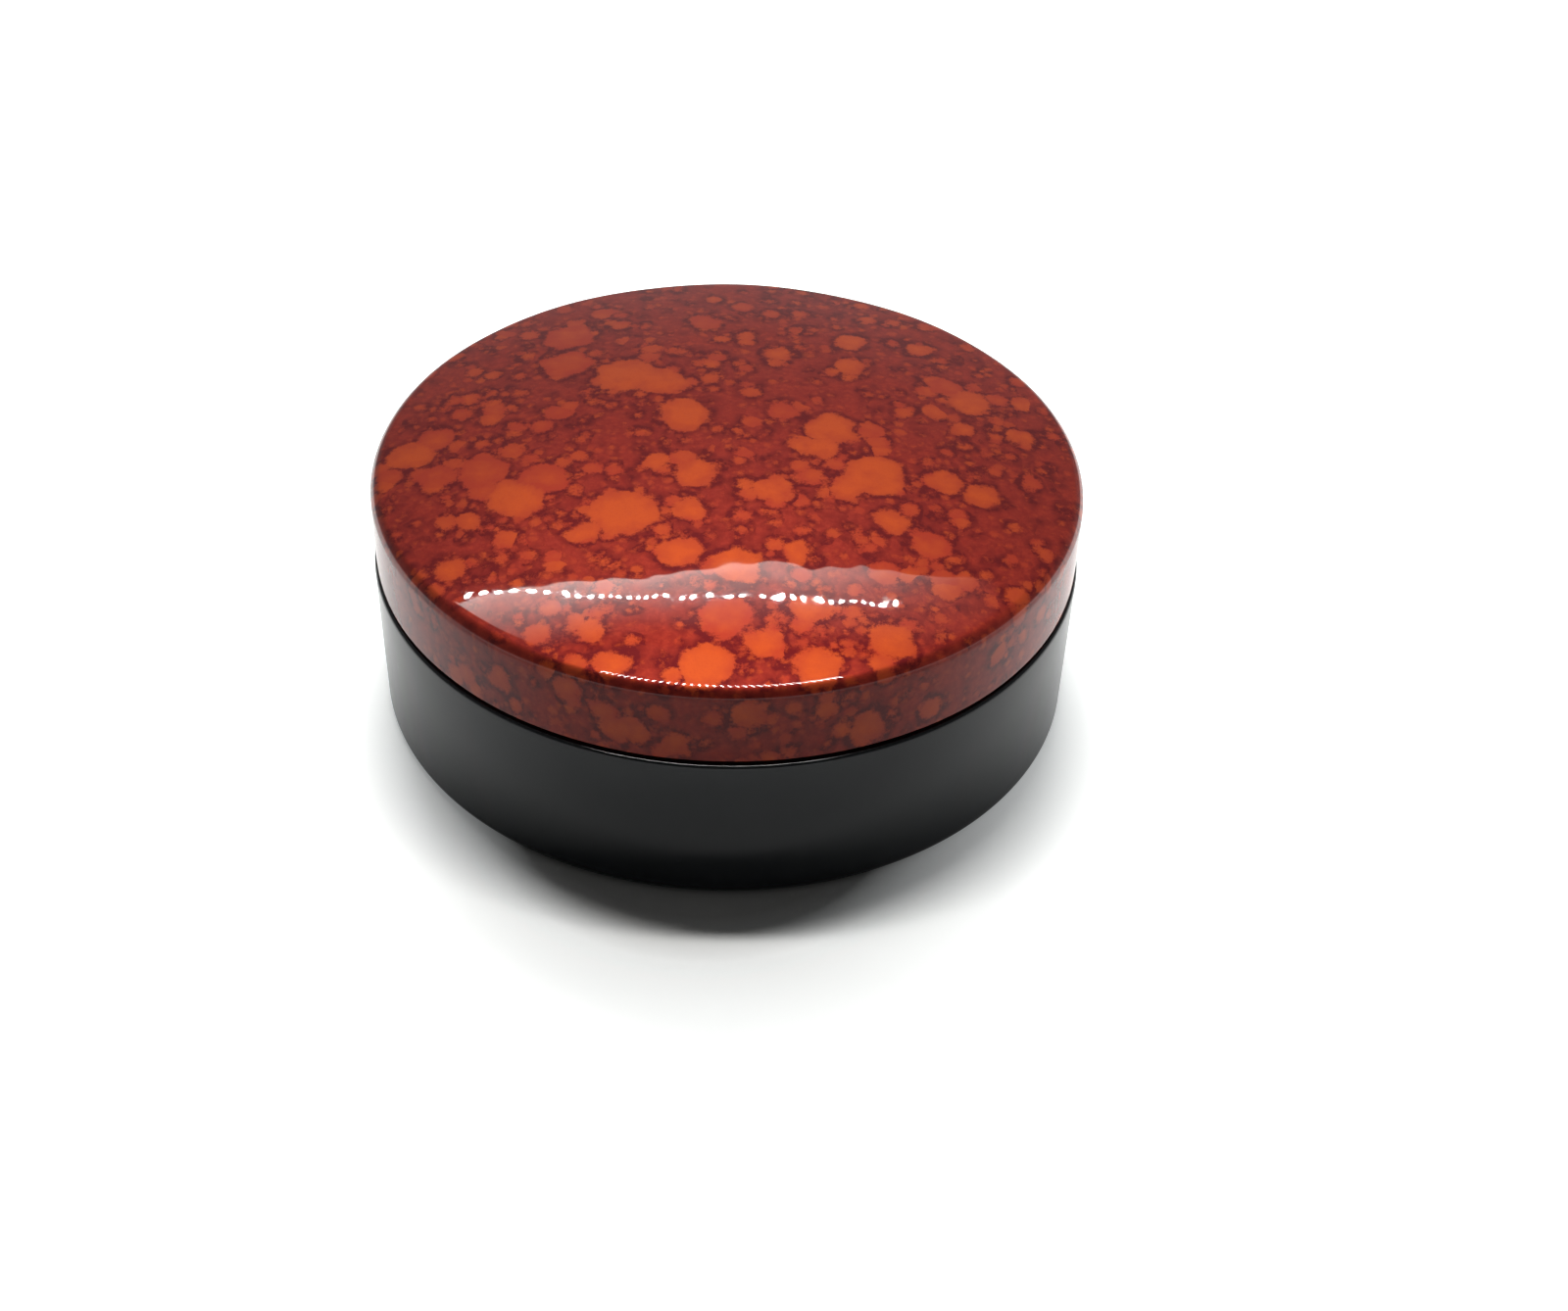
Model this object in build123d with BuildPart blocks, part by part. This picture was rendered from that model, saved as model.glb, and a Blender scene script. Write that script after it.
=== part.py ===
"""Round seal-ink case: a domed lid over a base that holds a tray with a cloth-covered ink pad.

Millimetres. Z is up, the case stands on Z = 0, and every piece is turned about the Z axis.
"""

import os
from math import sqrt

from build123d import *

# Lid
lid_radius = 40.0
lid_edge_radius = 39.85
lid_corner_height = 9.3
dome_rise = 3.9
rim_fillet = 1.5
skirt_thickness = 2.0
dome_thickness = 2.2
inner_rim_fillet = 2.0
lid_edge_fillet = 0.15

# Base
base_height = 18.7
shoulder_radius = 40.1
shoulder_fillet = 0.45
foot_radius = 39.6
foot_fillet = 1.2
foot_recess_radius = 34.0
foot_recess_depth = 0.8
foot_recess_fillet = 0.25
floor_thickness = 2.8
bore_radius = 35.8
bore_fillet = 1.0
spigot_height = 4.2
spigot_chamfer = 0.4

# Fit of the lid on the base
seam_gap = 0.5
spigot_play = 0.45

# Tray and the foam disc under it
cushion_radius = 30.0
cushion_thickness = 1.0
tray_radius = 35.0
tray_height = 16.2
tray_corner_radius = 2.0
sheet_thickness = 0.8
bead_radius = 0.6

# Ink pad
felt_radius = 33.6
felt_thickness = 8.6
felt_fillet = 0.6
pad_radius = 31.0
pad_edge_height = 5.2
pad_crown = 3.0
pad_fillet = 1.6
cloth_thickness = 0.35
cloth_gap = 0.05
hem_radius = 33.9

# Ring that clamps the cloth
ring_height = 5.2
ring_clearance = 0.05
ring_fillet = 0.5

os.makedirs("parts", exist_ok=True)


def cap_sphere_radius(edge_radius, rise):
    """Radius of the sphere whose cap is rise high over a circle of edge_radius."""
    return (edge_radius**2 + rise**2) / (2 * rise)


def cap_height(sphere_radius, at_radius):
    """How far a sphere's cap has dropped below its top at this distance from the axis."""
    return sphere_radius - sqrt(sphere_radius**2 - at_radius**2)


def level_circles(builder):
    """The part's horizontal circular edges."""
    return builder.edges().filter_by(GeomType.CIRCLE).filter_by(Plane.XY)


# Heights and radii that follow from the dimensions above
lid_edge_z = base_height + seam_gap
lid_corner_z = lid_edge_z + lid_corner_height
lid_top_z = lid_corner_z + dome_rise
dome_radius = cap_sphere_radius(lid_radius, dome_rise)

hollow_radius = lid_radius - skirt_thickness
hollow_top_z = lid_top_z - dome_thickness
hollow_dome_radius = dome_radius - dome_thickness
hollow_corner_z = hollow_top_z - cap_height(hollow_dome_radius, hollow_radius)

spigot_radius = hollow_radius - spigot_play
spigot_top_z = base_height + spigot_height
floor_z = foot_recess_depth + floor_thickness

tray_z = floor_z + cushion_thickness
tray_inner_radius = tray_radius - sheet_thickness
bead_z = tray_z + tray_height - bead_radius
bead_centre_radius = tray_inner_radius + bead_radius
bead_foot_z = bead_z - sqrt(bead_radius**2 - (tray_radius - bead_centre_radius) ** 2)
bead_diagonal = bead_radius * sqrt(0.5)

felt_z = tray_z + sheet_thickness
pad_z = felt_z + felt_thickness
pad_corner_z = pad_z + pad_edge_height
pad_top_z = pad_corner_z + pad_crown
pad_dome_radius = cap_sphere_radius(pad_radius, pad_crown)

cloth_rise = cloth_gap + cloth_thickness
cloth_radius = pad_radius + cloth_rise
cloth_top_z = pad_top_z + cloth_rise
cloth_dome_radius = pad_dome_radius + cloth_rise
cloth_corner_z = cloth_top_z - cap_height(cloth_dome_radius, cloth_radius)

ring_z = pad_z + cloth_thickness
ring_inner_radius = cloth_radius + ring_clearance
ring_outer_radius = tray_inner_radius - ring_clearance


# Lid: a shallow dome over a short skirt, with a hollow that follows the outside
with BuildPart() as lid_shell:
    with BuildSketch(Plane.XZ):
        with BuildLine():
            Polyline(
                (0, lid_top_z),
                (0, lid_edge_z),
                (lid_edge_radius, lid_edge_z),
                (lid_radius, lid_corner_z),
            )
            RadiusArc((lid_radius, lid_corner_z), (0, lid_top_z), -dome_radius)
        make_face()
    revolve(axis=Axis.Z)
    fillet(level_circles(lid_shell).sort_by(Axis.Z)[-1], rim_fillet)
    with BuildSketch(Plane.XZ):
        with BuildLine():
            Polyline(
                (0, hollow_top_z),
                (0, lid_edge_z),
                (hollow_radius, lid_edge_z),
                (hollow_radius, hollow_corner_z),
            )
            RadiusArc(
                (hollow_radius, hollow_corner_z), (0, hollow_top_z), -hollow_dome_radius
            )
        make_face()
    revolve(axis=Axis.Z, mode=Mode.SUBTRACT)
    inner_rim = level_circles(lid_shell).filter_by(
        lambda edge: abs(edge.center().Z - hollow_corner_z) < lid_edge_fillet
        and edge.radius < lid_radius - rim_fillet
    )
    fillet(inner_rim, inner_rim_fillet)
    fillet(level_circles(lid_shell).group_by(Axis.Z)[0], lid_edge_fillet)

# Base: a tapered wall with a rounded foot and shoulder, and a spigot that the lid fits over
with BuildPart() as base_shell:
    with BuildSketch(Plane.XZ):
        with BuildLine():
            Polyline(
                (0, 0),
                (foot_radius, 0),
                (shoulder_radius, base_height),
                (spigot_radius, base_height),
                (spigot_radius, spigot_top_z),
                (0, spigot_top_z),
                close=True,
            )
        make_face()
    revolve(axis=Axis.Z)
    fillet(level_circles(base_shell).sort_by(Axis.Z)[0], foot_fillet)
    fillet(level_circles(base_shell).sort_by(SortBy.RADIUS)[-1], shoulder_fillet)
    chamfer(level_circles(base_shell).sort_by(Axis.Z)[-1], spigot_chamfer)
    with BuildSketch(Plane.XY.offset(floor_z)):
        Circle(bore_radius)
    extrude(amount=spigot_top_z - floor_z, mode=Mode.SUBTRACT)
    bore_edges = level_circles(base_shell).filter_by(
        lambda edge: abs(edge.radius - bore_radius) < bore_fillet
    )
    fillet(bore_edges.sort_by(Axis.Z)[0], bore_fillet)
    with BuildSketch(Plane.XY):
        Circle(foot_recess_radius)
    extrude(amount=foot_recess_depth, mode=Mode.SUBTRACT)
    recess_edges = level_circles(base_shell).filter_by(
        lambda edge: abs(edge.center().Z - foot_recess_depth) < foot_recess_fillet
    )
    fillet(recess_edges.sort_by(SortBy.RADIUS)[-1], foot_recess_fillet)

# Foam disc that sticks the tray to the floor of the base
with BuildPart() as tray_cushion:
    with BuildSketch(Plane.XY.offset(floor_z)):
        Circle(cushion_radius)
    extrude(amount=cushion_thickness)

# Tray: a pressed pan with a rolled bead round its rim
with BuildPart() as ink_tray:
    with BuildSketch(Plane.XZ):
        with BuildLine():
            Polyline(
                (tray_inner_radius, bead_z),
                (tray_inner_radius, felt_z),
                (0, felt_z),
                (0, tray_z),
                (tray_radius, tray_z),
                (tray_radius, bead_foot_z),
            )
            ThreePointArc(
                (tray_radius, bead_foot_z),
                (bead_centre_radius + bead_diagonal, bead_z + bead_diagonal),
                (tray_inner_radius, bead_z),
            )
        make_face()
    revolve(axis=Axis.Z)
    tray_corners = level_circles(ink_tray).sort_by(Axis.Z)
    fillet(tray_corners[0], tray_corner_radius)
    inner_corner = level_circles(ink_tray).filter_by(
        lambda edge: abs(edge.center().Z - felt_z) < sheet_thickness / 2
    )
    fillet(inner_corner, tray_corner_radius - sheet_thickness)

# Felt disc that holds the ink
with BuildPart() as ink_felt:
    with BuildSketch(Plane.XY.offset(felt_z)):
        Circle(felt_radius)
    extrude(amount=felt_thickness)
    fillet(level_circles(ink_felt), felt_fillet)

# Crowned foam pad
with BuildPart() as pad_foam:
    with BuildSketch(Plane.XZ):
        with BuildLine():
            Polyline(
                (0, pad_top_z), (0, pad_z), (pad_radius, pad_z), (pad_radius, pad_corner_z)
            )
            RadiusArc((pad_radius, pad_corner_z), (0, pad_top_z), -pad_dome_radius)
        make_face()
    revolve(axis=Axis.Z)
    fillet(level_circles(pad_foam).sort_by(Axis.Z)[-1], pad_fillet)

# Cloth: a thin skin over the pad, with a hem that lies on the felt
with BuildPart() as pad_cloth:
    with BuildSketch(Plane.XZ):
        with BuildLine():
            Polyline(
                (0, cloth_top_z),
                (0, pad_z),
                (cloth_radius, pad_z),
                (cloth_radius, cloth_corner_z),
            )
            RadiusArc((cloth_radius, cloth_corner_z), (0, cloth_top_z), -cloth_dome_radius)
        make_face()
    revolve(axis=Axis.Z)
    fillet(level_circles(pad_cloth).sort_by(Axis.Z)[-1], pad_fillet + cloth_rise)
    offset(amount=-cloth_thickness, openings=pad_cloth.faces().sort_by(Axis.Z)[0])
    with BuildSketch(Plane.XY.offset(pad_z)):
        Circle(hem_radius)
        Circle(cloth_radius - cloth_thickness, mode=Mode.SUBTRACT)
    extrude(amount=cloth_thickness)

# Ring pressed into the tray over the hem
with BuildPart() as cloth_ring:
    with BuildSketch(Plane.XY.offset(ring_z)):
        Circle(ring_outer_radius)
        Circle(ring_inner_radius, mode=Mode.SUBTRACT)
    extrude(amount=ring_height)
    fillet(level_circles(cloth_ring).group_by(Axis.Z)[-1], ring_fillet)

pieces = {
    "lid_shell": lid_shell,
    "base_shell": base_shell,
    "tray_cushion": tray_cushion,
    "ink_tray": ink_tray,
    "ink_felt": ink_felt,
    "pad_foam": pad_foam,
    "pad_cloth": pad_cloth,
    "cloth_ring": cloth_ring,
}
for name, piece in pieces.items():
    piece.part.label = name
    export_step(piece.part, f"parts/{name}.step")
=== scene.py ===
"""Looks of a round lacquered seal-ink case: mottled lid, black base, and the ink pad inside.

Metres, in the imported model's own frame: Z is up, the case stands on Z = 0 and is turned about Z.
"""

from math import atan2, cos, hypot, pi, radians, sin, sqrt

import bpy
from mathutils import Matrix, Vector, noise


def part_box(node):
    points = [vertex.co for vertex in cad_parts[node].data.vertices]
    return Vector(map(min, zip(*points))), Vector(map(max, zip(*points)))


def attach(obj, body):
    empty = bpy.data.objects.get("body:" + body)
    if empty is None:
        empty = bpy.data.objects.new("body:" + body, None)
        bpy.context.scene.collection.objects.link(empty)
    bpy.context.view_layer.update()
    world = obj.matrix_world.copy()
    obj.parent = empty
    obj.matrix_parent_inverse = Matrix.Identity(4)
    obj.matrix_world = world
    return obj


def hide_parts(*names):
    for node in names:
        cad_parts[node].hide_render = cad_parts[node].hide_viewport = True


# Without a seed, noise_vector starts from the clock and the drops differ on each run
noise.seed_set(5)

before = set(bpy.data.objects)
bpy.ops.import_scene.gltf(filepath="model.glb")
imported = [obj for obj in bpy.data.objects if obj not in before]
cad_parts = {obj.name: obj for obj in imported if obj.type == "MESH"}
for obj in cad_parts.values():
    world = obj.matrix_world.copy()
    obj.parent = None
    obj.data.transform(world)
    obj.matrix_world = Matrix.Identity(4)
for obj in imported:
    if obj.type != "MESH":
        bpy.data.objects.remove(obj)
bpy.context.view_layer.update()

MM = 0.001

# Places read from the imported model
lid_low, lid_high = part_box("lid_shell")
_, base_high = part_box("base_shell")
tray_low, tray_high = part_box("ink_tray")
felt_low, felt_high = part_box("ink_felt")
foam_low, foam_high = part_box("pad_foam")
cloth_low, cloth_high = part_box("pad_cloth")
ring_low, ring_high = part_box("cloth_ring")
cushion_low, cushion_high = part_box("tray_cushion")

# Lid
LID_RADIUS = 40.0 * MM
LID_EDGE_RADIUS = 39.85 * MM
DOME_RISE = 3.9 * MM
RIM_FILLET = 1.5 * MM
SKIRT = 2.0 * MM
DOME_THICKNESS = 2.2 * MM
INNER_RIM_FILLET = 2.0 * MM
LID_EDGE_FILLET = 0.15 * MM

# Base
SHOULDER_Z = 18.7 * MM
SHOULDER_RADIUS = 40.1 * MM
SHOULDER_FILLET = 0.45 * MM
FOOT_RADIUS = 39.6 * MM
FOOT_FILLET = 1.2 * MM
RECESS_RADIUS = 34.0 * MM
RECESS_DEPTH = 0.8 * MM
RECESS_FILLET = 0.25 * MM
FLOOR_Z = cushion_low.z
BORE_RADIUS = 35.8 * MM
BORE_FILLET = 1.0 * MM
SPIGOT_RADIUS = 37.55 * MM
SPIGOT_CHAMFER = 0.4 * MM

# Tray, ring and pad
SHEET = 0.8 * MM
TRAY_RADIUS = 35.0 * MM
TRAY_CORNER = 2.0 * MM
BEAD_RADIUS = 0.6 * MM
FELT_FILLET = 0.6 * MM
PAD_FILLET = 1.6 * MM
PAD_CROWN = 3.0 * MM
CLOTH_THICKNESS = 0.35 * MM
CLOTH_RADIUS = 31.4 * MM
CLOTH_INNER_GAP = 0.05 * MM
RING_FILLET = 0.5 * MM
RING_INNER_RADIUS = 31.45 * MM

# Width of the band near the lid's rim where the ripples of the dome die out
RIPPLE_FADE = 6.0 * MM

SEGMENTS = 480
STEP = 0.5 * MM
SMALL_STEP = 0.1 * MM


# ---------------------------------------------------------------- outlines


def line(start, end, step=STEP):
    """Points from start to end, both included, about step apart, as (radius, height)."""
    count = max(1, round(hypot(end[0] - start[0], end[1] - start[1]) / step))
    return [
        (
            start[0] + (end[0] - start[0]) * i / count,
            start[1] + (end[1] - start[1]) * i / count,
        )
        for i in range(count + 1)
    ]


def arc(centre, radius, start, end, step=STEP):
    """Points of an arc from the start to the end angle, in radians from the outward direction."""
    count = max(4, round(abs(end - start) * radius / step))
    return [
        (
            centre[0] + radius * cos(start + (end - start) * i / count),
            centre[1] + radius * sin(start + (end - start) * i / count),
        )
        for i in range(count + 1)
    ]


def joined(*runs):
    """One outline from several runs, without the points that repeat where they meet."""
    outline = []
    for point in (p for run in runs for p in run):
        if not outline or hypot(point[0] - outline[-1][0], point[1] - outline[-1][1]) > 1e-7:
            outline.append(point)
    return outline


def cap(edge_radius, rise, top):
    """(centre height, radius) of the sphere whose cap is rise high over edge_radius and ends at top."""
    radius = (edge_radius**2 + rise**2) / (2 * rise)
    return top - radius, radius


def dome_and_wall(sphere, wall_radius, fillet):
    """Outline from the axis over a spherical dome and round its rim, ending where the wall starts."""
    centre, radius = sphere
    fillet_r = wall_radius - fillet
    fillet_z = centre + sqrt((radius - fillet) ** 2 - fillet_r**2)
    rim_angle = atan2(fillet_z - centre, fillet_r)
    return joined(
        arc((0, centre), radius, pi / 2, rim_angle),
        arc((fillet_r, fillet_z), fillet, rim_angle, 0, SMALL_STEP),
    )


def corner(point, fillet, start, end):
    """Rounds a square corner at point; start and end are the arc's angles in degrees."""
    middle = radians((start + end) / 2)
    centre = (
        point[0] - fillet * sqrt(2) * cos(middle),
        point[1] - fillet * sqrt(2) * sin(middle),
    )
    return arc(centre, fillet, radians(start), radians(end), SMALL_STEP)


# ---------------------------------------------------------------- meshes


def lathe(name, outline, closed=False, segments=SEGMENTS):
    """Turns an outline about Z. An open one starts and ends on the axis; a closed one makes a ring."""
    rows, points, faces = [], [], []
    for radius, height in outline:
        if radius < 1e-7:
            rows.append([len(points)] * segments)
            points.append((0, 0, height))
        else:
            rows.append(list(range(len(points), len(points) + segments)))
            points.extend(
                (radius * cos(2 * pi * i / segments), radius * sin(2 * pi * i / segments), height)
                for i in range(segments)
            )
    pairs = list(zip(rows, rows[1:] + rows[:1])) if closed else list(zip(rows, rows[1:]))
    for upper, lower in pairs:
        for i in range(segments):
            j = (i + 1) % segments
            face = list(dict.fromkeys((upper[i], lower[i], lower[j], upper[j])))
            if len(face) > 2:
                faces.append(face)
    mesh = bpy.data.meshes.new(name)
    mesh.from_pydata(points, [], faces)
    mesh.validate()
    mesh.shade_smooth()
    piece = bpy.data.objects.new(name, mesh)
    bpy.context.scene.collection.objects.link(piece)
    return piece


def ripple(piece, amount, size, seed, still_radius=None):
    """Moves points along their normals by smooth noise, less and less as they come near still_radius."""
    offset = Vector((seed, 2 * seed, 3 * seed))
    normals = [v.normal.copy() for v in piece.data.vertices]
    for vertex, normal in zip(piece.data.vertices, normals):
        fade = 1.0
        if still_radius:
            fade = min(1, max(0, (still_radius - hypot(vertex.co.x, vertex.co.y)) / RIPPLE_FADE))
        vertex.co += normal * amount * fade * noise.noise(vertex.co / size + offset)
    piece.data.update()


def wave(piece, amount, middle, lengths):
    """Adds one long low swell of the hand-laid lacquer, steepest at middle; lengths are along X and Y."""
    for vertex in piece.data.vertices:
        across = 2 * pi * (vertex.co.x - middle[0]) / lengths[0]
        back = 2 * pi * (vertex.co.y - middle[1]) / lengths[1]
        vertex.co.z += amount * cos(across) * sin(back)
    piece.data.update()


def finish_piece(piece, body, slot, *replaced, materials):
    """Gives a piece its materials and body, and hides the CAD nodes it stands for; slot is not used."""
    for material in materials:
        piece.data.materials.append(material)
    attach(piece, body)
    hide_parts(*replaced)
    return piece


# ---------------------------------------------------------------- shaders


class Nodes:
    """A node tree, with short calls that add a node and join its inputs."""

    def __init__(self, tree):
        self.tree = tree

    def node(self, kind, inputs=(), **settings):
        made = self.tree.nodes.new(kind)
        for key, value in settings.items():
            setattr(made, key, value)
        for key, value in dict(inputs).items():
            if isinstance(value, bpy.types.NodeSocket):
                self.tree.links.new(value, made.inputs[key])
            else:
                made.inputs[key].default_value = value
        return made

    def math(self, operation, first, second=0.0, third=0.0):
        inputs = {0: first, 1: second, 2: third}
        return self.node("ShaderNodeMath", inputs, operation=operation).outputs[0]

    def vector(self, operation, first, second=None, **named):
        inputs = {0: first, **named}
        if second is not None:
            inputs[1] = second
        return self.node("ShaderNodeVectorMath", inputs, operation=operation).outputs[0]

    def place(self):
        return self.node("ShaderNodeTexCoord").outputs["Object"]

    def noise(self, vector, scale, detail=2.0, roughness=0.5):
        inputs = {"Vector": vector, "Scale": scale, "Detail": detail, "Roughness": roughness}
        return self.node("ShaderNodeTexNoise", inputs).outputs

    def blend(self, share, first, second):
        made = self.node("ShaderNodeMix", {0: share, 6: first, 7: second}, data_type="RGBA")
        return made.outputs[2]

    def span(self, value, low, high, to_low=0.0, to_high=1.0):
        inputs = {0: value, 1: low, 2: high, 3: to_low, 4: to_high}
        return self.node("ShaderNodeMapRange", inputs).outputs[0]

    def xyz(self, vector):
        return self.node("ShaderNodeSeparateXYZ", {0: vector}).outputs

    def from_axis(self, vector):
        """Distance from the Z axis."""
        x, y, _ = self.xyz(vector)
        return self.math("SQRT", self.math("ADD", self.math("POWER", x, 2.0), self.math("POWER", y, 2.0)))

    def bump(self, height, strength, distance):
        inputs = {"Height": height, "Strength": strength, "Distance": distance}
        return self.node("ShaderNodeBump", inputs).outputs["Normal"]


class Shader(Nodes):
    """A new material with one Principled surface."""

    def __init__(self, name):
        self.material = bpy.data.materials.new(name)
        self.material.use_nodes = True
        super().__init__(self.material.node_tree)
        self.surface = self.tree.nodes["Principled BSDF"]

    def set(self, **inputs):
        """Sets or links the surface's own sockets; an underscore stands for a space."""
        for key, value in inputs.items():
            socket = self.surface.inputs[key.replace("_", " ")]
            if isinstance(value, bpy.types.NodeSocket):
                self.tree.links.new(value, socket)
            else:
                socket.default_value = value


# ---------------------------------------------------------------- lid lacquer

# How bright the listed drops are, from dull (0) to bright (1)
BRIGHT, MIDDLING, DULL = 1.0, 0.7, 0.0

# The largest drops of the mottled lacquer, in millimetres. On the dome: x, y, radius.
BRIGHT_DROPS = (
    (-12, 13.5, 3.6), (-8, 12, 2.9), (-5, 4.8, 3.2), (11.5, 2.8, 2.8), (10, -1.2, 2.0),
    (16, -5.5, 3.4), (13, -8.5, 2.0), (24, -5.5, 2.0), (28, -7.5, 2.1), (27.5, 11.5, 2.5),
    (-8, -4.5, 1.6), (-3.5, -6.5, 2.6), (-11, -13.5, 3.9), (-15.5, -16.5, 1.7), (-4, -13, 1.9),
    (-5, -20, 2.5), (7.5, -19.5, 1.8), (-23, -10, 3.2), (-28, -13.5, 1.7), (-29.5, -21, 1.7),
    (5, -9.5, 2.2), (1, -22, 2.6), (9, -28, 2.3), (-2, -36, 2.9), (9.5, -36, 2.5), (4, -33, 2.0),
    (17, -32, 2.4), (-14, -31.5, 1.3), (-11.5, -36, 1.8), (-35.5, 0, 2.6), (14, 16.5, 1.9),
    (14, 23, 2.0), (22.5, 23, 1.6), (5.5, 19, 1.7), (18, -13.5, 2.1), (33, 5.5, 1.6),
)
DULL_DROPS = (
    (-19, 24, 3.0), (-19, 17, 3.0), (-27, -5, 2.9), (-32, -5, 2.2), (-3, 27, 1.9), (6, 6, 1.9),
    (22, -17, 2.3), (25, 14.5, 1.9), (-20, -7, 2.6), (-33, 2.5, 2.2), (0, -29.5, 3.0),
)
# On the wall: degrees round from the front, height above the lid's edge, radius.
WALL_DROPS = (
    (-36, 4.5, 1.6), (-23, 7, 1.4), (-16, 3, 1.9), (-7, 2, 1.6), (3.5, 6.5, 1.8), (22, 2.5, 2.2),
    (33, 2.5, 1.4), (-46, 1.5, 1.3), (46, 5, 1.5),
)


def listed_drops(sphere):
    """Centre, radius and brightness of each listed drop, on the lid's outer surface."""
    centre, radius = sphere
    drops = []
    for tone, places in ((BRIGHT, BRIGHT_DROPS), (DULL, DULL_DROPS)):
        for x, y, size in places:
            height = centre + sqrt(radius**2 - (x * MM) ** 2 - (y * MM) ** 2)
            drops.append((Vector((x * MM, y * MM, height)), size * MM, tone))
    for turn, height, size in WALL_DROPS:
        across, back = sin(radians(turn)), -cos(radians(turn))
        place = Vector((LID_RADIUS * across, LID_RADIUS * back, lid_low.z + height * MM))
        drops.append((place, size * MM, MIDDLING))
    return drops


def paint_drops(piece, drops):
    """Stores each point's distance outside the nearest listed drop, in mm, and that drop's brightness."""
    distances, tones = [], []
    for vertex in piece.data.vertices:
        shift = noise.noise_vector(vertex.co / (2.4 * MM)) * 0.8 * MM
        shift += noise.noise_vector(vertex.co / (1.0 * MM) + Vector((5, 5, 5))) * 0.4 * MM
        place = vertex.co + shift
        outside, tone = min(((place - centre).length - size, tone) for centre, size, tone in drops)
        distances.append(outside / MM)
        tones.append(tone)
    for name, values in (("drop_distance", distances), ("drop_tone", tones)):
        attribute = piece.data.attributes.new(name, "FLOAT", "POINT")
        attribute.data.foreach_set("value", values)


# The smaller drops come from scattered cells: cell size and largest radius in mm, share of cells
# that hold a drop, how much the drop's colour shows, how dark its rim is, and a seed.
SMALLER_DROPS = (
    (0.9, 0.42, 0.60, 0.60, 0.10, 5.3),
    (1.6, 0.80, 0.80, 0.85, 0.50, 7.7),
    (2.9, 1.50, 0.90, 1.00, 0.80, 3.1),
    (3.6, 1.75, 0.75, 1.00, 0.80, 11.9),
)

GROUND = (0.145, 0.0136, 0.0077, 1)
GROUND_DARK = (0.107, 0.0086, 0.0060, 1)
GROUND_LIGHT = (0.180, 0.0211, 0.0092, 1)
VEIN = (0.058, 0.0040, 0.0044, 1)
DROP = (0.202, 0.0260, 0.0079, 1)
DROP_BRIGHT = (0.236, 0.0348, 0.0075, 1)
DROP_DULL = (0.176, 0.0180, 0.0081, 1)


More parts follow.
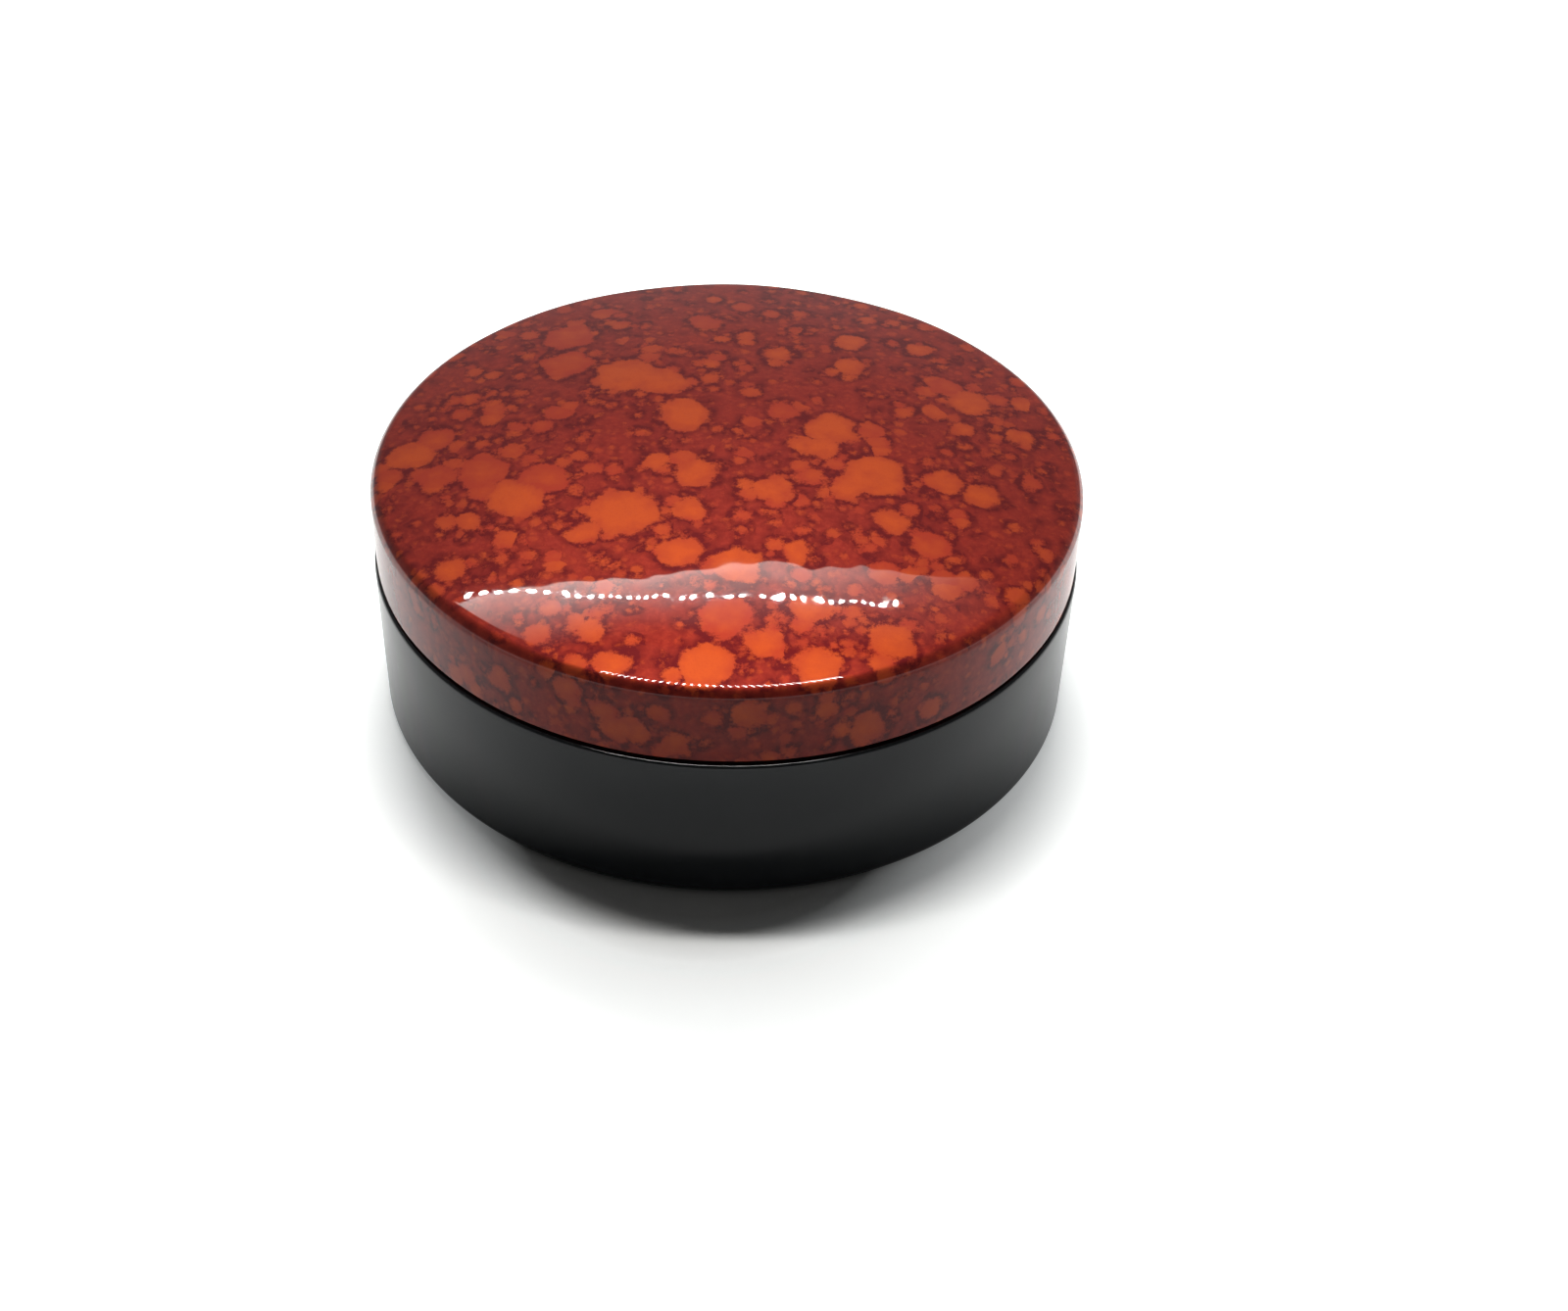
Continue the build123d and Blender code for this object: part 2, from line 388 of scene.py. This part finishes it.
def mottled_lacquer():
    """Orange drops in a red ground, with dark veins where they crowd, under a thick clear coat."""
    s = Shader("mottled_lacquer")
    place = s.vector("SCALE", s.place(), Scale=1 / MM)
    bend = s.vector("SUBTRACT", s.noise(place, 0.55, 3, 0.6)[1], (0.5, 0.5, 0.5))
    bent = s.vector("ADD", place, s.vector("SCALE", bend, Scale=1.1))
    crowding = s.span(s.noise(place, 0.075, 1, 0.5)[0], 0.35, 0.65)
    fine = s.noise(place, 5.0, 3, 0.75)[0]
    grain = s.noise(place, 2.4, 4, 0.8)[0]
    rough_edge = s.math("MULTIPLY_ADD", grain, 1.5, -0.75)
    streak = s.noise(place, 1.1, 3, 0.6)[0]
    patch = s.noise(place, 0.42, 2, 0.6)[0]

    colour = s.blend(s.span(streak, 0.35, 0.62), GROUND_DARK, GROUND)
    colour = s.blend(s.span(grain, 0.52, 0.70, 0, 0.6), colour, GROUND_LIGHT)
    colour = s.blend(s.span(fine, 0.46, 0.30, 0, 0.45), colour, GROUND_DARK)
    vein = s.math("MULTIPLY", s.span(patch, 0.5, 0.68), 0.3)
    layers = []
    for cell, largest, share, strength, rim, seed in SMALLER_DROPS:
        moved = s.vector("ADD", bent, (seed, seed, seed))
        cells = s.node("ShaderNodeTexVoronoi", {"Vector": moved, "Scale": 1 / cell, "Randomness": 0.9})
        chance = s.node("ShaderNodeSeparateColor", {0: cells.outputs["Color"]}).outputs
        size = s.math("MULTIPLY", s.span(chance[0], 1 - share, 1.0, 0.0, 1.0), largest)
        size = s.math("MULTIPLY", size, s.span(crowding, 0.0, 1.0, 0.7, 1.15))
        distance = s.math("MULTIPLY_ADD", cells.outputs["Distance"], cell, s.math("MULTIPLY", size, -1.0))
        distance = s.math("ADD", distance, s.span(size, 0.25 * largest, 0.0, 0.0, 0.6))
        layers.append((distance, chance[1], strength, rim))
    listed = s.node("ShaderNodeAttribute", attribute_name="drop_distance").outputs["Fac"]
    listed_tone = s.node("ShaderNodeAttribute", attribute_name="drop_tone").outputs["Fac"]
    layers.append((listed, listed_tone, 1.0, 0.9))
    for distance, tone, strength, rim in layers:
        near = s.math("MULTIPLY", s.span(distance, 1.2, 0.15), rim)
        vein = s.math("ADD", vein, s.math("MULTIPLY", near, s.span(streak, 0.35, 0.6, 0.5, 1.0)))
    colour = s.blend(s.math("MINIMUM", s.math("POWER", vein, 1.4), 1.0), colour, VEIN)
    for distance, tone, strength, rim in layers:
        ragged = s.math("ADD", distance, rough_edge)
        inside = s.span(ragged, 0.22, -0.22, 0, strength)
        mixed = s.math("MULTIPLY_ADD", patch, 1.5, s.math("MULTIPLY_ADD", tone, 0.6, -0.85))
        mixed = s.math("MULTIPLY_ADD", s.span(ragged, 0.0, -1.6), 0.5, mixed)
        body = s.blend(s.span(mixed, 0.0, 0.5), DROP_DULL, DROP)
        body = s.blend(s.span(mixed, 0.5, 1.0), body, DROP_BRIGHT)
        body = s.blend(s.span(fine, 0.5, 0.3, 0, 0.4), body, DROP_DULL)
        colour = s.blend(inside, colour, body)
    s.set(
        Base_Color=colour, Metallic=0.5, Roughness=0.46, Specular_IOR_Level=0.0,
        Coat_Weight=0.8, Coat_Roughness=0.02, Coat_IOR=1.40,
    )
    return s.material


def black_lacquer():
    """Black lacquer with a soft gloss and the faint unevenness of a sprayed coat."""
    s = Shader("black_lacquer")
    place = s.vector("SCALE", s.place(), Scale=1 / MM)
    cloud = s.noise(place, 0.06, 3, 0.55)[0]
    dust = s.noise(place, 2.6, 2, 0.6)[0]
    colour = s.blend(s.span(cloud, 0.3, 0.7), (0.0055, 0.0064, 0.0075, 1), (0.0090, 0.0100, 0.0112, 1))
    colour = s.blend(s.span(dust, 0.70, 0.78, 0, 0.25), colour, (0.04, 0.04, 0.04, 1))
    s.set(
        Base_Color=colour, Roughness=s.span(cloud, 0.3, 0.7, 0.11, 0.16), IOR=1.46,
        Normal=s.bump(s.noise(place, 0.5, 2)[0], 0.15, 0.02 * MM),
    )
    return s.material


# ---------------------------------------------------------------- inside materials


def cushion_foam():
    """Closed-cell grey foam."""
    s = Shader("cushion_foam")
    cells = s.node("ShaderNodeTexVoronoi", {"Vector": s.place(), "Scale": 2400})
    shade = s.blend(cells.outputs["Distance"], (0.30, 0.30, 0.29, 1), (0.16, 0.16, 0.155, 1))
    s.set(
        Base_Color=shade, Roughness=0.85,
        Normal=s.bump(cells.outputs["Distance"], 0.6, 0.15 * MM),
    )
    return s.material


RINGS_PER_METRE = 5200


def tray_aluminium():
    """Satin aluminium with the fine rings of spinning and a few ink stains."""
    s = Shader("tray_aluminium")
    place = s.place()
    rings = {
        0: s.math("MULTIPLY", s.from_axis(place), RINGS_PER_METRE),
        2: s.math("MULTIPLY", s.xyz(place)[2], RINGS_PER_METRE),
    }
    brushed = s.noise(s.node("ShaderNodeCombineXYZ", rings).outputs[0], 1.0, 3, 0.7)[0]
    stain = s.span(s.noise(place, 130, 4, 0.6)[0], 0.58, 0.72, 0, 0.75)
    metal = s.blend(brushed, (0.66, 0.65, 0.63, 1), (0.84, 0.83, 0.80, 1))
    s.set(
        Base_Color=s.blend(stain, metal, (0.40, 0.035, 0.018, 1)), Metallic=s.span(stain, 0, 1, 1.0, 0.3),
        Roughness=s.span(brushed, 0.3, 0.7, 0.24, 0.38), Normal=s.bump(brushed, 0.25, 0.01 * MM),
    )
    return s.material


def fibres(name, dark, light, scale, depth, gloss):
    """Matted fibres soaked with ink, for the felt and the foam."""
    s = Shader(name)
    place = s.place()
    knots = s.noise(place, scale, 6, 0.75)[0]
    soak = s.noise(place, scale / 14, 3, 0.6)[0]
    colour = s.blend(s.span(knots, 0.32, 0.68), dark, light)
    colour = s.blend(s.span(soak, 0.4, 0.7, 0, 0.5), colour, dark)
    s.set(
        Base_Color=colour, Roughness=s.span(soak, 0.3, 0.7, gloss, gloss + 0.25),
        Normal=s.bump(knots, 0.8, depth), Sheen_Weight=0.3,
    )
    return s.material


WEAVE_PITCH = 0.62 * MM


def inked_cloth():
    """Fine plain weave, damp with vermilion ink: threads over and under, in wetter and drier patches."""
    s = Shader("inked_cloth")
    place = s.place()
    x, y, _ = s.xyz(place)
    pitch = 2 * pi / WEAVE_PITCH
    wobble = s.math("MULTIPLY", s.noise(place, 300, 2)[0], 1.2)
    across = s.math("SINE", s.math("MULTIPLY_ADD", x, pitch, wobble))
    along = s.math("SINE", s.math("MULTIPLY_ADD", y, pitch, wobble))
    over = s.math("MULTIPLY", across, along)
    warp = s.math("ABSOLUTE", s.math("SINE", s.math("MULTIPLY_ADD", x, pitch / 2, wobble)))
    weft = s.math("ABSOLUTE", s.math("SINE", s.math("MULTIPLY_ADD", y, pitch / 2, wobble)))
    threads = s.math("MULTIPLY", s.math("ADD", warp, weft), 0.5)
    woven = s.math("MULTIPLY_ADD", over, 0.35, threads)
    fuzz = s.noise(place, 5200, 4, 0.7)[0]
    height = s.math("MULTIPLY_ADD", fuzz, 0.5, woven)
    wet = s.noise(place, 85, 4, 0.6)[0]
    colour = s.blend(s.span(woven, 0.2, 1.1), (0.32, 0.014, 0.007, 1), (0.68, 0.046, 0.014, 1))
    colour = s.blend(s.span(wet, 0.42, 0.66, 0, 0.6), colour, (0.38, 0.016, 0.008, 1))
    s.set(
        Base_Color=colour, Roughness=s.span(wet, 0.35, 0.65, 0.72, 0.36),
        Normal=s.bump(height, 0.7, 0.09 * MM), Sheen_Weight=0.25, Sheen_Roughness=0.5,
    )
    return s.material


def ring_plastic():
    """Moulded black plastic, with ink rubbed on its inner edge."""
    s = Shader("ring_plastic")
    place = s.place()
    smear = s.noise(place, 160, 4, 0.65)[0]
    reach = s.math("MULTIPLY_ADD", smear, 2.4 * MM, RING_INNER_RADIUS - 0.9 * MM)
    inked = s.span(s.math("SUBTRACT", s.from_axis(place), reach), 0.25 * MM, -0.25 * MM, 0, 0.85)
    grain = s.noise(place, 3000, 3, 0.6)[0]
    black = s.blend(grain, (0.012, 0.012, 0.012, 1), (0.022, 0.022, 0.023, 1))
    s.set(
        Base_Color=s.blend(inked, black, (0.42, 0.025, 0.012, 1)),
        Roughness=s.span(smear, 0.3, 0.7, 0.22, 0.36), Normal=s.bump(grain, 0.2, 0.02 * MM),
    )
    return s.material


# ---------------------------------------------------------------- pieces

lid_sphere = cap(LID_RADIUS, DOME_RISE, lid_high.z)
hollow_radius = LID_RADIUS - SKIRT
hollow_sphere = (lid_sphere[0], lid_sphere[1] - DOME_THICKNESS)

lid_outline = joined(
    dome_and_wall(lid_sphere, LID_RADIUS, RIM_FILLET),
    line((LID_RADIUS, lid_high.z - DOME_RISE - RIM_FILLET), (LID_EDGE_RADIUS, lid_low.z + LID_EDGE_FILLET)),
    corner((LID_EDGE_RADIUS, lid_low.z), LID_EDGE_FILLET, 0, -90),
    corner((hollow_radius, lid_low.z), LID_EDGE_FILLET, -90, -180),
    reversed(dome_and_wall(hollow_sphere, hollow_radius, INNER_RIM_FILLET)),
)
lid = lathe("lid", lid_outline)
wave(lid, 0.050 * MM, (2 * MM, -17 * MM), (24 * MM, 44 * MM))
ripple(lid, 0.05 * MM, 12 * MM, 71.5, still_radius=LID_RADIUS - RIM_FILLET)
ripple(lid, 0.006 * MM, 2.2 * MM, 3.0, still_radius=LID_RADIUS - RIM_FILLET)
paint_drops(lid, listed_drops(lid_sphere))
black = black_lacquer()
finish_piece(lid, "lid", "mottled_lacquer", "lid_shell", materials=[mottled_lacquer(), black])

# The hollow is black: the part within the middle of the skirt and under the middle of the dome
dome_centre = Vector((0, 0, lid_sphere[0]))
for polygon in lid.data.polygons:
    within_skirt = hypot(polygon.center.x, polygon.center.y) < hollow_radius + SKIRT * 0.4
    under_dome = (polygon.center - dome_centre).length < lid_sphere[1] - DOME_THICKNESS / 2
    polygon.material_index = int(within_skirt and under_dome)

base_outline = joined(
    line((0, RECESS_DEPTH), (RECESS_RADIUS - RECESS_FILLET, RECESS_DEPTH), 3 * STEP),
    reversed(corner((RECESS_RADIUS, RECESS_DEPTH), RECESS_FILLET, 0, 90)),
    line((RECESS_RADIUS, 0), (FOOT_RADIUS - FOOT_FILLET, 0)),
    reversed(corner((FOOT_RADIUS, 0), FOOT_FILLET, 0, -90)),
    corner((SHOULDER_RADIUS, SHOULDER_Z), SHOULDER_FILLET, 0, 90),
    line((SPIGOT_RADIUS, SHOULDER_Z), (SPIGOT_RADIUS, base_high.z - SPIGOT_CHAMFER)),
    line((SPIGOT_RADIUS - SPIGOT_CHAMFER, base_high.z), (BORE_RADIUS, base_high.z)),
    line((BORE_RADIUS, base_high.z), (BORE_RADIUS, FLOOR_Z + BORE_FILLET)),
    reversed(arc((BORE_RADIUS - BORE_FILLET, FLOOR_Z + BORE_FILLET), BORE_FILLET, -pi / 2, 0, SMALL_STEP)),
    line((BORE_RADIUS - BORE_FILLET, FLOOR_Z), (0, FLOOR_Z), 3 * STEP),
)
base = lathe("base", base_outline)
ripple(base, 0.012 * MM, 12 * MM, 9.0)
finish_piece(base, "case", "black_lacquer", "base_shell", materials=[black])

cushion_outline = joined(
    line((0, cushion_high.z), (cushion_high.x, cushion_high.z), 3 * STEP),
    line((cushion_high.x, cushion_high.z), (cushion_high.x, cushion_low.z)),
    line((cushion_high.x, cushion_low.z), (0, cushion_low.z), 3 * STEP),
)
cushion = lathe("cushion", cushion_outline, segments=180)
finish_piece(cushion, "case", "cushion_foam", "tray_cushion", materials=[cushion_foam()])

# The tray is pressed from sheet, and its edge is rolled outwards into a bead
bead = (TRAY_RADIUS - SHEET + BEAD_RADIUS, tray_high.z - BEAD_RADIUS)
bead_foot = -(pi / 2 - atan2(TRAY_RADIUS - bead[0], BEAD_RADIUS))
tray_outline = joined(
    line((0, tray_low.z + SHEET), (TRAY_RADIUS - TRAY_CORNER, tray_low.z + SHEET), 3 * STEP),
    arc(
        (TRAY_RADIUS - TRAY_CORNER, tray_low.z + TRAY_CORNER), TRAY_CORNER - SHEET, -pi / 2, 0, SMALL_STEP
    ),
    line((TRAY_RADIUS - SHEET, tray_low.z + TRAY_CORNER), (TRAY_RADIUS - SHEET, bead[1])),
    arc(bead, BEAD_RADIUS, pi, bead_foot, SMALL_STEP / 2),
    line((TRAY_RADIUS, bead[1] - BEAD_RADIUS), (TRAY_RADIUS, tray_low.z + TRAY_CORNER)),
    arc((TRAY_RADIUS - TRAY_CORNER, tray_low.z + TRAY_CORNER), TRAY_CORNER, 0, -pi / 2, SMALL_STEP),
    line((TRAY_RADIUS - TRAY_CORNER, tray_low.z), (0, tray_low.z), 3 * STEP),
)
tray = lathe("tray", tray_outline)
finish_piece(tray, "case", "tray_aluminium", "ink_tray", materials=[tray_aluminium()])


def disc_with_round_edges(radius, low, high, fillet):
    """Outline of a solid disc with both edges rounded."""
    return joined(
        line((0, high), (radius - fillet, high), 2 * STEP),
        corner((radius, high), fillet, 90, 0),
        corner((radius, low), fillet, 0, -90),
        line((radius - fillet, low), (0, low), 2 * STEP),
    )


felt_outline = disc_with_round_edges(felt_high.x, felt_low.z, felt_high.z, FELT_FILLET)
felt = lathe("felt", felt_outline, segments=240)
felt_ink = fibres("inked_felt", (0.22, 0.010, 0.006, 1), (0.45, 0.030, 0.014, 1), 2600, 0.15 * MM, 0.55)
finish_piece(felt, "case", "inked_felt", "ink_felt", materials=[felt_ink])

foam_sphere = cap(foam_high.x, PAD_CROWN, foam_high.z)
foam_outline = joined(
    dome_and_wall(foam_sphere, foam_high.x, PAD_FILLET),
    line((foam_high.x, foam_high.z - PAD_CROWN - PAD_FILLET), (foam_high.x, foam_low.z)),
    line((foam_high.x, foam_low.z), (0, foam_low.z), 2 * STEP),
)
foam = lathe("foam_pad", foam_outline, segments=240)
foam_ink = fibres("inked_foam", (0.26, 0.012, 0.006, 1), (0.55, 0.036, 0.014, 1), 1500, 0.2 * MM, 0.5)
finish_piece(foam, "case", "inked_foam", "pad_foam", materials=[foam_ink])

# The cloth lies over the foam, goes down inside the ring, and its hem is held flat under the ring
cloth_sphere = cap(CLOTH_RADIUS, PAD_CROWN, cloth_high.z)
cloth_fillet = PAD_FILLET + CLOTH_INNER_GAP + CLOTH_THICKNESS
cloth_outside = joined(
    dome_and_wall(cloth_sphere, CLOTH_RADIUS, cloth_fillet),
    line((CLOTH_RADIUS, ring_low.z + cloth_fillet), (CLOTH_RADIUS, cloth_low.z + CLOTH_THICKNESS)),
    line((CLOTH_RADIUS, cloth_low.z + CLOTH_THICKNESS), (cloth_high.x, cloth_low.z + CLOTH_THICKNESS)),
)
inner_radius = CLOTH_RADIUS - CLOTH_THICKNESS
inner_sphere = (cloth_sphere[0], cloth_sphere[1] - CLOTH_THICKNESS)
cloth_inside = joined(
    dome_and_wall(inner_sphere, inner_radius, cloth_fillet - CLOTH_THICKNESS),
    line((inner_radius, ring_low.z), (inner_radius, cloth_low.z)),
    line((inner_radius, cloth_low.z), (cloth_high.x, cloth_low.z)),
)
cloth = lathe("cloth", joined(cloth_outside, reversed(cloth_inside)), segments=720)
GATHERS = 90


def pucker(piece, low, count, amount):
    """Small gathers where the cloth turns down into the ring; they die out on the pad."""
    for vertex in piece.data.vertices:
        x, y, z = vertex.co
        radius = hypot(x, y)
        if z < low or radius < 0.8 * CLOTH_RADIUS:
            continue
        turn = atan2(y, x)
        fade = min(1, (z - low) / (0.8 * MM)) * min(1, (radius / CLOTH_RADIUS - 0.8) / 0.17) ** 2
        wander = 2.5 * noise.noise(Vector((4 * cos(turn), 4 * sin(turn), 1)))
        depth = 0.5 + 0.5 * noise.noise(Vector((9 * cos(turn), 9 * sin(turn), 5)))
        lift = amount * fade * depth * (0.5 + 0.5 * cos(count * turn + 6 * wander))
        vertex.co += Vector((x / radius, y / radius, 1.0)).normalized() * lift
    piece.data.update()


pucker(cloth, ring_high.z, GATHERS, 0.22 * MM)
finish_piece(cloth, "case", "inked_cloth", "pad_cloth", materials=[inked_cloth()])

ring_outline = joined(
    line((RING_INNER_RADIUS, ring_low.z), (RING_INNER_RADIUS, ring_high.z - RING_FILLET)),
    corner((RING_INNER_RADIUS, ring_high.z), RING_FILLET, 180, 90),
    corner((ring_high.x, ring_high.z), RING_FILLET, 90, 0),
    line((ring_high.x, ring_low.z), (RING_INNER_RADIUS + STEP, ring_low.z)),
)
ring = lathe("pad_ring", ring_outline, closed=True)
finish_piece(ring, "case", "ring_plastic", "cloth_ring", materials=[ring_plastic()])


# ---------------------------------------------------------------- camera

LENS_MM = 63
EYE_DISTANCE = 0.3143
EYE_ELEVATION = radians(36.2)
AIM_HEIGHT = 19.85 * MM
PAN, TILT, ROLL = radians(-1.23), radians(-2.62), radians(1.04)

target = Vector((0, 0, AIM_HEIGHT))
camera = bpy.data.objects.new("camera", bpy.data.cameras.new("camera"))
camera.data.lens = LENS_MM
camera.data.clip_start = 0.02
bpy.context.scene.collection.objects.link(camera)
place = target + EYE_DISTANCE * Vector((0, -cos(EYE_ELEVATION), sin(EYE_ELEVATION)))
facing = Matrix.Rotation(pi / 2 - EYE_ELEVATION, 4, "X")
turned = (
    Matrix.Rotation(PAN, 4, "Y") @ Matrix.Rotation(TILT, 4, "X") @ Matrix.Rotation(ROLL, 4, "Z")
)
camera.matrix_world = Matrix.Translation(place) @ facing @ turned
bpy.context.scene.camera = camera
bpy.context.scene.view_settings.view_transform = "Standard"


# ---------------------------------------------------------------- floor and light


def floor_material():
    """Pale table with painted light: its glow is nil round the case, a painted shadow, and brightens away
    from it; in reflections its front is painted darker.
    """
    s = Shader("floor")
    place = s.place()
    # The painted shadow round the case is centred a little in front of it
    from_shade = s.vector("SUBTRACT", place, (-2 * MM, -22 * MM, 0))
    from_shade = s.vector("MULTIPLY", from_shade, (1.07, 1, 1))
    away = s.node("ShaderNodeVectorMath", {0: from_shade}, operation="LENGTH").outputs["Value"]
    # Painted light: the floor glows, nil within about 24 mm of that centre and rising outwards, which
    # paints a shadow round the case; far out it glows white
    near = s.math("MULTIPLY", s.math("POWER", s.span(away, 0.0235, 0.058), 0.85), 0.71)
    far = s.span(away, 0.10, 0.30, 0, 1.1)
    grain = s.noise(place, 900, 3, 0.6)[0]
    path = s.node("ShaderNodeLightPath").outputs
    # Painted shade in reflections: seen by glossy rays the floor is greyer and glows less, most of all at
    # its front
    to_front = s.span(s.xyz(place)[1], 30 * MM, -50 * MM, 0.2, 1.0)
    painted_shade_in_reflections = s.math("MULTIPLY", path["Is Glossy Ray"], to_front)
    glow = s.math("MULTIPLY_ADD", near, s.span(painted_shade_in_reflections, 0, 1, 1.0, 0.3), far)
    pale = s.blend(grain, (0.80, 0.82, 0.82, 1), (0.84, 0.86, 0.86, 1))
    # Painted shadow: the floor's colour turns grey right round the case
    pale = s.blend(s.span(away, 0.028, 0.021), pale, (0.48, 0.48, 0.47, 1))
    s.set(
        Base_Color=s.blend(painted_shade_in_reflections, pale, (0.40, 0.41, 0.41, 1)), Roughness=0.9,
        Specular_IOR_Level=0.1, Emission_Color=(0.97, 1.0, 1.0, 1), Emission_Strength=glow,
    )
    return s.material


def flat_mesh(name, low, high, height, material):
    """A level rectangle that belongs to the stage, not to the object."""
    mesh = bpy.data.meshes.new(name)
    corners = [(low[0], low[1]), (high[0], low[1]), (high[0], high[1]), (low[0], high[1])]
    mesh.from_pydata([(x, y, height) for x, y in corners], [], [(0, 1, 2, 3)])
    mesh.materials.append(material)
    piece = bpy.data.objects.new(name, mesh)
    bpy.context.scene.collection.objects.link(piece)
    return piece


flat_mesh("floor", (-2, -2), (2, 2), -0.01 * MM, floor_material())

LAMP_HEIGHT = 350 * MM
DIODES = 34


def light_only(light, *pieces):
    """Lets a lamp light these pieces and nothing else."""
    receivers = bpy.data.collections.new(f"{light.name}_receivers")
    for piece in pieces:
        receivers.objects.link(piece)
    light.light_linking.receiver_collection = receivers


def lamp_strip(
    name, start, end, y, width, depth, power,
    bow=0.0, slant=0.0, fan=0.0, diffuse=True, glossy=True, lit=(),
):
    """A strip of small diodes that face down, side by side along X; width and depth are each one's size.

    The strip's ends are bow further back than its middle, and slant tips it. The end diodes are turned
    about Z by fan, so that a round rim still reflects separate dots. It lights everything, or only the
    pieces in lit.
    """
    for i in range(DIODES):
        along = (i + 0.5) / DIODES
        off_middle = 2 * along - 1
        data = bpy.data.lights.new(f"{name}_{i}", "AREA")
        data.shape = "ELLIPSE"
        data.size, data.size_y = width, depth
        data.energy = power / DIODES
        data.color = (1.0, 0.98, 0.96)
        light = bpy.data.objects.new(f"{name}_{i}", data)
        back = y + bow * off_middle**2 + slant * off_middle
        light.location = (start + (end - start) * along, back, LAMP_HEIGHT)
        light.rotation_euler = (0, 0, fan * off_middle)
        light.visible_diffuse = diffuse
        light.visible_glossy = glossy
        if lit:
            light_only(light, *lit)
        bpy.context.scene.collection.objects.link(light)


# The far strip lights everything and is the row of dots on the dome. The near one lights what is dull.
# The other two show only in reflections: the rows of dots along the lid's rim and the base's shoulder.
lamp_strip(
    "far_strip", start=-142 * MM, end=99 * MM, y=221 * MM, width=2.8 * MM, depth=3.2 * MM,
    power=0.85, bow=14 * MM, slant=-8 * MM,
)
lamp_strip(
    "near_strip", start=-90 * MM, end=65 * MM, y=34 * MM, width=2.3 * MM, depth=24 * MM,
    power=1.05, glossy=False,
)
lamp_strip(
    "rim_strip", start=-99 * MM, end=90 * MM, y=20 * MM, width=2.0 * MM, depth=100 * MM,
    power=1.8, fan=radians(21), diffuse=False,
)
lamp_strip(
    "front_strip", start=-123 * MM, end=99 * MM, y=-60 * MM, width=2.4 * MM, depth=40 * MM,
    power=0.6, diffuse=False, lit=[base],
)


def fill_lamp(place, aim, size, power, *lit):
    """A large soft lamp that lights only the pieces given, and shows in no reflection."""
    data = bpy.data.lights.new("fill", "AREA")
    data.size = size
    data.energy = power
    light = bpy.data.objects.new("fill", data)
    light.location = place
    light.rotation_euler = (Vector(aim) - Vector(place)).to_track_quat("-Z", "Y").to_euler()
    light.visible_glossy = False
    light_only(light, *lit)
    bpy.context.scene.collection.objects.link(light)


fill_lamp((340 * MM, 120 * MM, 260 * MM), (20 * MM, 0, 20 * MM), 200 * MM, 2.9, lid)


def glow_material(strength):
    """Lamp cover seen from below: bright along its far edge, fading towards the front and the right."""
    material = bpy.data.materials.new("glow")
    material.use_nodes = True
    material.node_tree.nodes.clear()
    n = Nodes(material.node_tree)
    right, back, _ = n.xyz(n.node("ShaderNodeAttribute", attribute_name="across").outputs["Vector"])
    shade = n.math("MULTIPLY", n.math("POWER", back, 2.2), n.span(right, 1.0, 0.4))
    glow = {"Color": (1.0, 0.95, 0.90, 1), "Strength": n.math("MULTIPLY", shade, strength)}
    n.node("ShaderNodeOutputMaterial", {"Surface": n.node("ShaderNodeEmission", glow).outputs[0]})
    return material


# How much further right the glow's front left corner is than its back left one
GLOW_SLANT = 60 * MM
GLOW_HEIGHT = LAMP_HEIGHT + 5 * MM


def lamp_glow(left, right, front, back_left, back_right, strength):
    """A four-cornered diffuser above the far strip; its far edge isn't quite parallel to the strip."""
    columns, rows = 24, 12
    points, across = [], []
    for j in range(rows + 1):
        for i in range(columns + 1):
            u, v = i / columns, j / rows
            back = back_left + (back_right - back_left) * u
            start = left + GLOW_SLANT * (1 - v)
            points.append((start + (right - start) * u, front + (back - front) * v, GLOW_HEIGHT))
            across.extend((u, v, 0))
    row = columns + 1
    faces = [
        (first, first + 1, first + row + 1, first + row)
        for j in range(rows)
        for first in range(j * row, j * row + columns)
    ]
    mesh = bpy.data.meshes.new("glow")
    mesh.from_pydata(points, [], faces)
    attribute = mesh.attributes.new("across", "FLOAT_VECTOR", "POINT")
    attribute.data.foreach_set("vector", across)
    mesh.materials.append(glow_material(strength))
    piece = bpy.data.objects.new("glow", mesh)
    piece.visible_camera = False
    bpy.context.scene.collection.objects.link(piece)


lamp_glow(
    left=-150 * MM, right=160 * MM, front=172 * MM, back_left=240 * MM, back_right=276 * MM,
    strength=12,
)


def studio_world():
    """Pale to the camera; to everything else a dim room, lighter at the back and near the horizon."""
    world = bpy.data.worlds.new("studio")
    world.use_nodes = True
    world.node_tree.nodes.clear()
    n = Nodes(world.node_tree)
    _, back, up = n.xyz(n.node("ShaderNodeTexCoord").outputs["Generated"])
    strength = n.math("MULTIPLY", n.span(up, 0, 1, 0.34, 0.08), n.span(back, -1, 1, 0.25, 1.4))
    room = n.node("ShaderNodeBackground", {"Strength": strength}).outputs[0]
    seen = n.node("ShaderNodeBackground", {"Color": (0.93, 0.94, 0.94, 1)}).outputs[0]
    to_camera = n.node("ShaderNodeLightPath").outputs["Is Camera Ray"]
    mixed = n.node("ShaderNodeMixShader", {0: to_camera, 1: room, 2: seen}).outputs[0]
    n.node("ShaderNodeOutputWorld", {"Surface": mixed})
    bpy.context.scene.world = world


studio_world()
